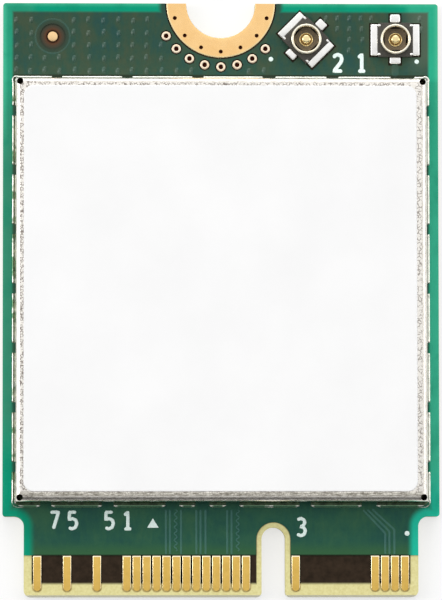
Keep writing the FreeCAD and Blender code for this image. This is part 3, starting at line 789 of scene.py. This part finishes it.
bead_solder = metal_finish("shield_solder", (236, 240, 228), (252, 253, 246), 0.3, 0.1, 0.003, solder_flux_and_painted_shade)
shield_sheet = sheet_metal_finish()
label_film = label_finish()
jack_plastic = moulded_finish("jack_plastic", (63, 61, 56), (81, 78, 71), 0.5, 0.07)
# Painted light: the plug is the moulding's plastic, painted lighter against the shade inside the ring.
plug_plastic_painted_light = moulded_finish("jack_plug", (102, 90, 70), (118, 103, 82), 0.5, 0.07)
dark_fill = moulded_finish("via_fill", (40, 12, 3), (54, 18, 6), 0.7, 0.07, 0.02)
ink = moulded_finish("marking_ink", (232, 254, 247), (242, 255, 251), 0.6, 0.08)
chip_mould = moulded_finish("chip_mould", (34, 34, 36), (48, 48, 50), 0.55)
ceramic = moulded_finish("ceramic", (150, 116, 84), (176, 142, 106), 0.5)
ferrite = moulded_finish("ferrite", (70, 68, 68), (92, 90, 88), 0.6)
tinned = metal_finish("tinned_ends", (190, 190, 188), (214, 213, 210), 0.35)

for finish, nodes in ((laminate, ["circuit_board"]), (lacquer, ["solder_mask_top", "solder_mask_bottom"]),
                      (chip_mould, ["radio_chip", "power_chip", "front_end_module_1", "front_end_module_2",
                                    "resistor_bodies"]),
                      (ceramic, ["antenna_filters", "crystal_package", "capacitor_bodies"]),
                      (tinned, ["crystal_lid", "capacitor_terminals", "resistor_terminals"]),
                      (ferrite, ["power_inductors"]), (solder_tin, ["component_solder"])):
    for node in nodes:
        materials = frame["nodes"][node].data.materials
        materials.clear()
        materials.append(finish)


# Edge contacts


def finger_row(name, numbers, base, face):
    """Gold fingers from the base level to the face level: upright sides, edges that slope in, least at the
    rounded tips, and a thin rim of painted shade round each."""
    tip = contact_end + finger_tip_gap
    length = finger_root - tip
    x = (middle_contact - np.array(numbers)) * contact_pitch / 2
    places = np.stack([x, np.full_like(x, (tip + finger_root) / 2)], -1)
    side = math.copysign(1.0, face - base)
    # Rims of painted shade: a dark sheet a hair above the board round each contact.
    rims = pad(places - np.array([0, finger_shade_rim / 2]), finger_width + 2 * finger_shade_rim, length + finger_shade_rim,
               tip_corners * (finger_tip_radius + finger_shade_rim), [(0, base), (0, base + side * hair)])
    foot = rounded_outline(finger_width, length, tip_corners * finger_tip_radius, 6)
    top = rounded_outline(finger_width - finger_near_slope - finger_far_slope,
                          length - finger_root_slope - finger_tip_slope,
                          tip_corners * (finger_tip_radius - finger_near_slope), 6)
    top += np.array([finger_near_slope - finger_far_slope, finger_tip_slope - finger_root_slope]) / 2
    levels = np.array([base, face - side * finger_edge_drop, face])
    fingers = raised(at_places(np.stack([foot, foot, top]), places), levels[:, None])
    piece(name + "_rims", [rims], painted_shade_rims)
    piece(name + "_gold", [(fingers, True, True)], contact_gold, [name], 15.0)


finger_row("contact_fingers_top", top_contacts, laminate_top, land_top)
finger_row("contact_fingers_bottom", bottom_contacts, laminate_bottom, land_bottom)


# Screw land with its vias, stitching rings and the alignment dot


def about_notch(turn, radius, level):
    """Points at a turn and a radius about the middle of the notch, turning from the -X side below it."""
    plan = np.stack([screw_centre[0] - radius * np.cos(turn), screw_centre[1] - radius * np.sin(turn)], -1)
    return raised(plan, level)


via_centres = about_notch(via_turns, screw_via_circle, 0.0)[:, :2]
stitch_centres = about_notch(stitch_turns, stitch_circle, 0.0)[:, :2]


def land_sectors(hole_radius, level):
    """Flat of the half-ring land, one sector for each via: lines from the hole's edge to its border."""
    side, zero, one = sector_side, np.zeros_like(sector_side), np.ones_like(sector_side)
    border = np.array([(side, zero), (one, side), (1 - side, one), (zero, 1 - side)])
    share_turn, share_radius = border.transpose(1, 0, 2).reshape(2, -1)
    inner, outer = notch_radius + land_rim, land_radius - land_rim
    way_turn = via_walls[:-1, None] + share_turn * np.diff(via_walls)[:, None] - via_turns[:, None]
    way_radius = inner + share_radius * (outer - inner) - screw_via_circle
    reach = np.hypot(way_turn * screw_via_circle, way_radius)[:, None]
    gone = (hole_radius + sector_shares[:, None] * (reach - hole_radius)) / reach
    turn = via_turns[:, None, None] + gone * way_turn[:, None]
    return about_notch(turn, screw_via_circle + gone * way_radius, level)


def land_rims(level, face):
    """Rolled inner and outer rims of the land, a quarter circle across, that meet the sectors."""
    turns = (via_walls[:-1, None] + sector_side * np.diff(via_walls)[:, None]).reshape(-1)
    turns = np.append(turns, math.pi)[None]
    bend = np.linspace(0, math.pi / 2, 6)[:, None]
    inset = land_rim * (1 - np.sin(bend))
    level_at = level + (face - level) * np.cos(bend)
    return [(about_notch(turns, radius, level_at), False, False)
            for radius in (notch_radius + inset, land_radius - inset)]


def screw_land():
    """Lands on both faces, joined through the board by lined vias."""
    walls = ((0.0, (land_top, land_bottom)), (via_plating, (laminate_top, laminate_bottom)))
    faces = [land_sectors(screw_via_radius + wall, level) for wall, levels in walls for level in levels]
    linings = [np.stack([upper[:, 0], lower[:, 0]], 1) for upper, lower in (faces[:2], faces[2:])]
    surfaces = [(points, True, False) for points in faces + linings]
    for level, face in ((laminate_top, land_top), (laminate_bottom, land_bottom)):
        surfaces += land_rims(level, face) + land_rims(level, level)
    piece("screw_land", surfaces, land_gold, ["screw_pad"])


def via_fills():
    """Dark resin that fills the vias of the screw land and the stitching holes, cupped, with a lip."""
    low = laminate_bottom + fill_floor
    fills = []
    for places, radius in ((via_centres, screw_via_radius), (stitch_centres, stitch_hole_radius)):
        section = [(0, low), (radius - hair, low), (radius - hair, land_top - fill_neck),
                   (radius + fill_lip, land_top + fill_lip_height),
                   (0.5 * radius, land_top - 0.9 * fill_cup), (0, land_top - fill_cup)]
        fills.append(turned(places, section, 16))
    piece("via_fill", fills, dark_fill)


def stitch_rings():
    """Rings round the stitching holes: a flat washer with softened edges on the lining of its hole."""
    hole, ring, soft = stitch_hole_radius, stitch_ring_radius, stitch_soft
    lining = hole + via_plating
    section = [(hole, laminate_bottom), (hole, land_top - soft), (hole + soft / 2, land_top - soft / 4),
               (hole + soft, land_top), (ring - 2 * soft, land_top), (ring - soft / 2, land_top - soft / 2),
               (ring, laminate_top), (lining, laminate_top), (lining, laminate_bottom),
               (hole, laminate_bottom)]
    piece("stitch_rings", [turned(stitch_centres, section, 32)], ring_gold, ["ground_via_rings"])


def alignment_dot():
    """Bare gold dot with a softened rim."""
    section = [(0, land_top)] + [(fiducial_radius - way, land_top - drop) for way, drop in dot_rim]
    section += [(fiducial_radius, laminate_top), (0, laminate_top)]
    piece("alignment_dot", [turned([fiducial], section, 40)], dot_gold, ["fiducial_dot"])


screw_land()
via_fills()
stitch_rings()
alignment_dot()


# Shield can, its solder and its label


def foot_windows():
    """Gaps between the feet on the can's outline: middle x and y, width, and whether it is on a side."""
    steps = (np.arange(side_window_count) - (side_window_count - 1) / 2) * side_window_pitch
    side_y = can_middle[1] + side_window_shift + steps
    sides = [(x, y, side_window_width, True) for x in (can_low[0], can_high[0]) for y in side_y]
    rows = ((can_high[1], screw_end_windows), (can_low[1], contact_end_windows))
    return sides + [(x, y, width, False) for y, row in rows for x, width in row]


def can_shell():
    """Folded sheet: from the ceiling down the inside of the wall, under its edge and up the outside, round
    the bend and over the plate, which falls a little towards the bend."""
    fold_top = can_top - can_edge_drop
    section = [(plate_inset, can_top - can_sheet)]
    section += rolled(can_sheet, fold_top - can_sheet, can_bend - can_sheet, 5)[::-1]
    section += [(can_sheet, can_foot), (0.0, can_foot)]
    section += rolled(0.0, fold_top, can_bend, 10)
    fall = np.linspace(0, 1, 6)[1:]
    section += zip(can_bend + (plate_inset - can_bend) * fall, can_top - can_edge_drop * (1 - fall) ** 2)
    return pad([can_middle], *can_size, 0.0, section, 0.0, 1)


def can_cuts():
    """Cutters of the can: holes at the corners, slits down the corner edges and windows between feet."""
    holes = can_middle + corner_signs * (can_size / 2 - relief_hole_inset)
    below, above = can_foot - can_bend, can_top + can_bend
    hole_section = [(relief_hole_radius, can_top - 4 * can_bend), (relief_hole_radius, above)]
    cutters = [(turned(holes, hole_section, 32)[0], True, True)]
    for corner, hole in zip(corner_signs, holes):
        middle = hole + corner * corner_slit_length / 2 / math.sqrt(2)
        cutters.append(pad([middle], corner_slit_length, corner_slit_width, 0.0,
                           [(0, below), (0, can_top - can_bend)], math.atan2(corner[1], corner[0]), 1))
    for x, y, width, on_side in foot_windows():
        size = (4 * can_sheet, width) if on_side else (width, 4 * can_sheet)
        cutters.append(pad([(x, y)], *size, 0.0, [(0, below), (0, can_foot + window_height)], 0.0, 1))
    return cutters


def shield():
    """Shell with its holes, slits and windows cut out."""
    shell = placed("can_shell", mesh_of("can_shell", [can_shell()], 1.0))
    cuts = placed("can_cuts", mesh_of("can_cuts", can_cuts(), 1.0))
    cut = shell.modifiers.new("cut", "BOOLEAN")
    cut.operation = "DIFFERENCE"
    cut.solver = "EXACT"
    cut.use_self = True
    cut.object = cuts
    ready = shell.evaluated_get(bpy.context.evaluated_depsgraph_get())
    mesh = bpy.data.meshes.new_from_object(ready)
    mesh.transform(Matrix.Scale(millimetre, 4))
    for made in (shell, cuts):
        bpy.data.objects.remove(made)
    mesh.name = "shield_sheet"
    set_piece("shield_sheet", mesh, shield_sheet, ["shield_can"], 30.0)


def bead_spans(outline, reach):
    """Start and end along the can's outline of each dash of solder between the windows."""
    marks = []
    for x, y, width, on_side in foot_windows():
        nearest = np.argmin(np.hypot(outline[:, 0] - x, outline[:, 1] - y))
        marks.append((reach[nearest], width / 2))
    middles, halves = np.array(sorted(marks)).T
    ends = np.roll(middles - halves, -1)
    ends[-1] += reach[-1]
    return np.stack([middles + halves, ends], -1)


def solder_beads():
    """Dashes of solder along the feet: across each a half-round ridge, (cosine, sine) of a half turn, beyond
    a hollow that climbs the wall by the square of the way left; it wanders a little, swells towards both ends
    and draws in there, and the ridge is finer on the -X side and towards the contacts, where its ends curl to
    the wall."""
    corners = rounded_outline(*(can_size + 2 * bead_width), bead_corner, 24) + can_middle
    loop = np.concatenate([corners, corners[:1]])
    loop_reach = reach_along(loop)
    reach = np.linspace(0, loop_reach[-1], 8001)
    outline = points_at(reach, loop_reach, loop)
    starts, ends = np.hsplit(bead_spans(outline, reach), 2)
    at = starts + close_at_ends(72) * (ends - starts)
    place = points_at(at % reach[-1], reach, outline)
    way = points_at(at % reach[-1], reach, left_of(outline))
    from_end = np.minimum(at - starts, ends - at)
    drawn = np.sqrt(1 - (1 - np.clip(from_end / bead_draw, 0, 1)) ** 2)
    wander = 0.85 + 0.1 * np.sin(at * 5.3) + 0.05 * np.sin(at * 13.7 + 1.0)
    swell = wander + bead_swell * np.exp(-(from_end / bead_swell_reach) ** 2)
    left, right, front = np.clip(way[..., 0], 0, 1), np.clip(-way[..., 0], 0, 1), np.clip(way[..., 1], 0, 1)
    on_corner = np.abs(2 * way[..., 0] * np.minimum(way[..., 1], 0))
    curl = front * (1 - np.clip(from_end / bead_curl_reach, 0, 1)) ** 2
    half = bead_ridge_half - bead_left_finer * left + bead_right_wider * right - bead_front_finer * front
    middle = bead_width + bead_right_out * right + bead_front_out * front + bead_corner_out * on_corner
    middle -= half + bead_curl * curl
    drawn, wander, swell, half, middle = (part[..., None] for part in (drawn, wander, swell, half, middle))
    turns = np.linspace(0, math.pi, 11)
    climb_across = np.linspace(bead_climb_width, 0.0, 6)
    under = np.array([0.0, -bead_inner, -bead_inner])
    flat_across = np.concatenate([climb_across, under])
    across = np.concatenate([middle + half * np.cos(turns), np.tile(flat_across, at.shape + (1,))], -1)
    ridge = bead_ridge_height * np.sin(turns) * swell * np.sqrt(half / bead_ridge_half)
    climb = bead_height * (1 - climb_across / bead_climb_width) ** 2 * wander
    upper = land_top + np.concatenate([ridge, climb], -1) * drawn
    upper[..., 0] = laminate_top
    lower = np.tile([can_foot - hair, can_foot - hair, laminate_top], at.shape + (1,))
    plan = place[:, :, None] + way[:, :, None] * (bead_width - across)[..., None]
    points = raised(plan, np.concatenate([upper, lower], -1))
    piece("shield_solder_beads", [(points, True, True)], bead_solder, ["shield_solder"], 50.0)


def label():
    """Label with rounded corners and a rolled upper edge."""
    width, length, _ = label_high - label_low
    middle = (label_high + label_low)[:2] / 2
    low, high = label_low[2], label_high[2]
    section = [(0.0, low)] + rolled(0.0, high, label_roll, 5) + [(label_ring, high)]
    film = pad([middle], width, length, label_corner, section, 0.0, 14)
    piece("blank_label", [film], label_film, ["shield_label"])


shield()
solder_beads()
label()


# Antenna jacks


def jack_ring(axis):
    """Snap ring: a thin wall with a flat rim and softened edges, undercut outside above the moulding."""
    section = [(ring_inner, jack_low), (ring_neck, jack_low)]
    section += [(ring_outer - way, jack_floor + height) for way, height in ring_undercut]
    section += [(ring_outer - way, jack_top - drop) for way, drop in ring_rim_outside]
    section += [(ring_inner + way, jack_top - drop) for way, drop in ring_rim_inside]
    section += [(ring_inner, jack_low)]
    return turned([axis], section, 72)


def jack_pads(axis, turn, section, plan):
    """Pads (x, y, width, length, corner radius) of a jack's own plan, turned about its axis."""
    return [pad(at_places(np.array([[x, y]]), [axis], turn), width, length, radius, section, turn)
            for x, y, width, length, radius in plan]


def jack_wings(axis, turn):
    """Wings and plain tab of the outer contact's plate."""
    section = [(0, jack_low), (0, plate_top - plate_soft), (plate_soft, plate_top)]
    wing_x = body_half + wing_reach / 2
    plan = [(side * wing_x, 0, wing_reach, wing_length, plate_corner) for side in (-1, 1)]
    plan += [(0, body_half + tab_length / 2, tab_width, tab_length, plate_corner)]
    return jack_pads(axis, turn, section, plan)


def jack_moulding(axis, turn):
    """Moulded base: a frame from the ring out to a square with two cut corners."""
    square = rounded_outline(2 * body_half, 2 * body_half, body_radii, 8)
    inner_side = 2 * (body_half - body_bevel)
    edge = rounded_outline(inner_side, inner_side, body_radii - body_corner_bevel, 8)
    bore = square / np.linalg.norm(square, axis=1, keepdims=True) * body_bore
    rings = at_places(np.stack([bore, bore, edge, square, square, bore]), [axis], turn)
    levels = np.array([jack_low, jack_floor, jack_floor, jack_floor - body_bevel, jack_low, jack_low])
    return [(raised(rings, levels[:, None]), True, False)]


def jack_plug(axis):
    """Plug of the moulding inside the ring, with turned steps round the pin."""
    bore = pin_radius + hair
    section = [(bore, jack_low), (bore, jack_floor - plug_steps[0][1])]
    section += [(radius, jack_floor - depth) for radius, depth in plug_steps]
    section += [(plug_reach - plug_soft, jack_floor), (plug_reach, jack_floor - plug_soft),
                (plug_reach, jack_low), (bore, jack_low)]
    return [turned([axis], section, 64)]


def jack_pin(axis):
    """Centre contact: a pin with a domed tip, and its foot, a dish with a thin rim in the moulding."""
    dome = arc(pin_radius - pin_dome_width, pin_top - pin_dome_height, pin_dome_width, pin_dome_height,
               math.pi / 2, 8)
    pin = [(0, jack_low), (pin_radius, jack_low)] + dome + [(0, pin_top)]
    inside, low, dish = pin_radius - hair, jack_floor - flange_depth, jack_floor - dish_depth
    rim = arc(flange_radius - flange_rim, jack_floor + flange_rim_up, flange_rim, flange_rim_height,
              math.pi, 7)
    foot = [(inside, low), (flange_radius, low)] + rim + [(flange_radius - dish_inset, dish), (inside, dish)]
    return [turned([axis], pin, 56), turned([axis], foot + foot[:1], 56)]


def jack_joints(axis, turn):
    """Solder on the wings, the tab and the tail, pillows with rolled edges, and ears on the moulding."""
    section = [(0.0, laminate_top)] + rolled(0.0, joint_top, joint_roll, 6)
    wing = (wing_reach + joint_edge, wing_length + 2 * joint_edge, wing_joint_corner)
    wing_x = body_half + wing[0] / 2
    tab = (tab_width + 2 * joint_edge, tab_length + joint_edge, tab_joint_corner)
    plan = [(-wing_x, 0, *wing), (wing_x, 0, *wing), (0, body_half + tab[1] / 2, *tab),
            (0, -body_half - tail_length / 2, tail_width, tail_length, tail_joint_corner)]
    ear_section = [(inset, jack_floor + height) for inset, height in ear_edge]
    ears = [(side * ear_x, end * ear_y, ear_width, ear_length, ear_corner)
            for side in (-1, 1) for end in (-1, 1)]
    return jack_pads(axis, turn, section, plan) + jack_pads(axis, turn, ear_section, ears)


for jack, axis in jack_axes.items():
    turn = jack_turns[jack]
    piece(jack + "_snap_ring", [jack_ring(axis)] + jack_wings(axis, turn), jack_gold,
          [jack + "_outer_contact"], 50.0)
    piece(jack + "_moulding", jack_moulding(axis, turn), jack_plastic, [jack + "_insulator"])
    piece(jack + "_plug", jack_plug(axis), plug_plastic_painted_light)
    piece(jack + "_pin", jack_pin(axis), pin_gold, [jack + "_centre_contact"], 50.0)
    piece(jack + "_joints", jack_joints(axis, turn), solder_tin, [jack + "_solder"], 50.0)


# Relief of the lacquer


def via_places():
    """Covered vias on a grid over the end strip, each moved a little by sines of its row and column, clear of
    the lands, the dot and the jacks."""
    x = via_first[0] + via_pitch_x * via_columns + via_wander * np.sin(7.0 * via_rows + via_columns)
    y = via_first[1] - via_pitch_y * via_rows + via_wander * np.sin(3.0 * via_columns + 2.0 * via_rows)
    places = np.stack([x, y], -1).reshape(-1, 2)
    clear = np.linalg.norm(places - screw_centre, axis=1) > stitch_circle + stitch_ring_radius + via_ring_gap
    clear &= np.linalg.norm(places - fiducial, axis=1) > via_dot_gap
    clear &= (places[:, 0] < via_last_x) & (places[:, 0] > pour_inset + via_edge_gap - half_card)
    return np.concatenate([places[clear], np.array(jack_vias)])


def covered_vias():
    """Low bumps of lacquer over the vias: across a slope that rises to a rounded crest and falls sooner on
    the +X side, along it one less the square of the way from the middle."""
    across = np.concatenate([np.array([-1, -0.5, -0.12]) * via_left, np.array([0.15, 0.6, 1, 1]) * via_right,
                             [-via_left]])
    rise = np.array([0.0, 0.5, 0.92, 0.9, 0.45, 0.0, 0.0, 0.0])
    along_it = np.linspace(-1, 1, 7)
    y, x = np.meshgrid(along_it * via_half_length, across, indexing="ij")
    height = lacquer_top - hair + via_dome_height * rise * (1 - along_it[:, None] ** 2)
    height[:, -2:] -= hair
    domes = raised(at_places(np.stack([x, y], -1), via_places()), height)
    piece("covered_vias", [(domes, True, True)], dome_lacquer, crease=60.0)


def traces():
    """Copper lines under the lacquer, two of them winding as a sine so that they are longer."""
    lines = [stroke(path, trace_width, trace_height, 60, 4.0) for path in bent_traces]
    lines += [stroke([(x, trace_start), (x, trace_end)], trace_width, trace_height, 24, 4.0)
              for x in straight_traces]
    swing = winding_swing * np.sin(np.linspace(0, winding_bends * math.pi, 105))
    way = np.linspace(trace_start, winding_end, 105)
    lines += [stroke(np.stack([x + swing, way], -1), winding_width, trace_height, 160, 4.0)
              for x in winding_traces]
    feed_x = jack_axes["jack_1"][0]
    feed = stroke([(feed_x, feed_start), (feed_x, feed_end)], feed_width, trace_height, 24, 6.0)
    piece("covered_feed", [feed], faint_lacquer, crease=60.0)
    piece("covered_traces", lines, trace_lacquer, crease=60.0)


def dot_outline():
    """Low ring in the lacquer where the copper pour stops round the alignment dot."""
    section = arc(pour_ring_radius, lacquer_top - hair, -pour_ring_half, pour_ring_height, math.pi, 7)
    ring = turned([fiducial], section + section[:1], 48)
    piece("pour_ring", [ring], faint_lacquer, crease=60.0)


def ink_marks():
    """Plain numbers beside the jacks, the key slot and the contacts, dots and a pointer, in white ink."""
    low = lacquer_top - hair
    marks = []
    for text, x, y, height, step, width in markings:
        for index, letter in enumerate(text):
            for line in glyphs[letter]:
                run = np.array(line) * height * np.array([glyph_width, 1.0]) + np.array([x + index * step, y])
                marks.append(stroke(run, width, ink_height, 48, 6.0))
    for x, y, radius in ink_dots:
        section = arc(0.0, low, radius, ink_height, math.pi / 2, 5) + [(0, low), (radius, low)]
        marks.append(turned([(x, y)], section, 24))
    rings = raised(np.stack([pointer, pointer]), np.array([low, lacquer_top + ink_height])[:, None])
    marks.append((rings, True, True))
    piece("ink_marks", marks, ink, crease=60.0)


covered_vias()
traces()
dot_outline()
ink_marks()


# Studio


def studio_floor():
    """Pale floor that shows white around the card and keeps its shadow."""
    x, y = np.meshgrid((-floor_half, floor_half), (-floor_half, floor_half), indexing="ij")
    surface = np.stack([x, y, np.zeros_like(x)], -1), False, False
    made = placed("studio_floor", mesh_of("studio_floor", [surface], millimetre))
    finish = Finish("studio_floor", Base_Color=seen(0.35), Roughness=1.0, Specular_IOR_Level=0.0,
                    Emission_Color=seen(1.0))
    kinds = ("Is Camera Ray", "Is Glossy Ray", "Is Transmission Ray")
    rays = [finish.node("LightPath", {}, kind) for kind in kinds]
    finish.feed(Emission_Strength=finish.most(*rays) * floor_glow)
    made.data.materials.append(finish.material)


def studio_world():
    """Soft box of light overhead that fades to the sides, and sooner towards the contact end."""
    scene.world = bpy.data.worlds.new("studio_box")
    scene.world.use_nodes = True
    sky = Pattern(scene.world.node_tree)
    x, y, _ = sky.parts(sky.node("TexCoord", {}, "Generated"))
    shares = [sky.ramp(sky.node("MapRange", {"Value": part, "From Min": -1.0, "From Max": 1.0}), *stops)
              for part, stops in ((y, fade_along), (x, fade_across))]
    light = sky.tree.nodes["Background"].inputs
    sky.tree.links.new(sky.stretched(*shares).socket, light["Color"])
    light["Strength"].default_value = 1.0


def lamp(name, place, width, length, power):
    """Soft strip lamp aimed at the card; place and sizes in millimetres, power in watts."""
    data = bpy.data.lights.new(name, "AREA")
    data.shape = "RECTANGLE"
    data.size = width * millimetre
    data.size_y = length * millimetre
    data.energy = power
    made = placed(name, data)
    made.location = Vector(place) * millimetre
    made.rotation_euler = (-made.location).to_track_quat("-Z", "Y").to_euler()


def camera():
    """Camera almost straight above, leaning a little to the contact end."""
    back = Vector((math.sin(view_yaw), -math.sin(view_tilt) * math.cos(view_yaw),
                   math.cos(view_tilt) * math.cos(view_yaw)))
    right = Vector((0, 1, 0)).cross(back).normalized()
    upward = back.cross(right)
    right, upward = (math.cos(view_roll) * right + math.sin(view_roll) * upward,
                     math.cos(view_roll) * upward - math.sin(view_roll) * right)
    data = bpy.data.cameras.new("camera")
    data.sensor_width = view_sensor
    data.lens = view_lens
    data.clip_start = 0.01
    made = placed("camera", data)
    place = (view_target + back * view_distance) * millimetre
    made.matrix_world = Matrix.Translation(place) @ Matrix((right, upward, back)).transposed().to_4x4()
    scene.camera = made


scene.view_settings.view_transform = "Standard"
studio_floor()
studio_world()
for name, values in lamps.items():
    lamp(name, *values)
camera()

bpy.context.view_layer.update()
